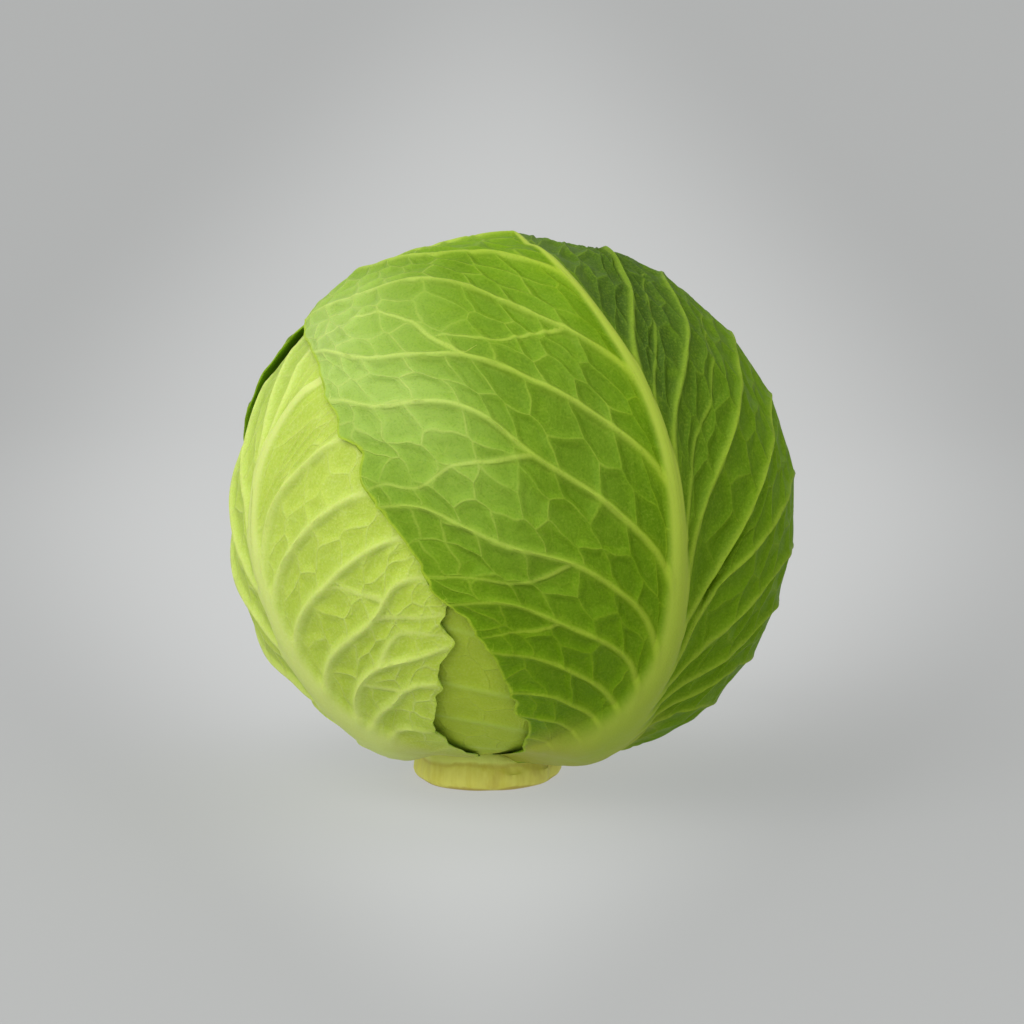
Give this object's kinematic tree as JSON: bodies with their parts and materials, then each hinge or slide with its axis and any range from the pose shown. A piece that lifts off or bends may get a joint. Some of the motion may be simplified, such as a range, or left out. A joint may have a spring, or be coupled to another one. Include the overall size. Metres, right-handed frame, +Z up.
{
  "type": "green cabbage",
  "caption": "Round green cabbage head of wrapped, ribbed leaves on a short trimmed stem; a whole vegetable that stands upright on its cut stem.",
  "frame": {"origin": "middle of the stem's flat cut face, on which the cabbage rests", "axes": "+Z up through the stem towards the crown; -Y is the front, where the two overlapping wrapper leaves meet"},
  "size_m": [0.1659, 0.1669, 0.1605],
  "materials": {
    "stem": "moist cut stem, pale yellow-green with browned rims",
    "heart": "pale waxy leaf",
    "inner_leaf": "waxy light green leaf with pale veins",
    "left_leaf": "waxy yellow-green leaf with pale veins",
    "back_leaf": "waxy dark green leaf with pale veins",
    "outer_leaf": "waxy mid green leaf with pale veins"
  },
  "bodies": {
    "root": {"stem": "stem", "heart": "heart", "inner_front_leaf": "inner_leaf", "inner_back_leaf": "inner_leaf", "left_leaf": "left_leaf", "back_leaf": "back_leaf", "front_right_leaf": "outer_leaf"}
  },
  "joints": []
}
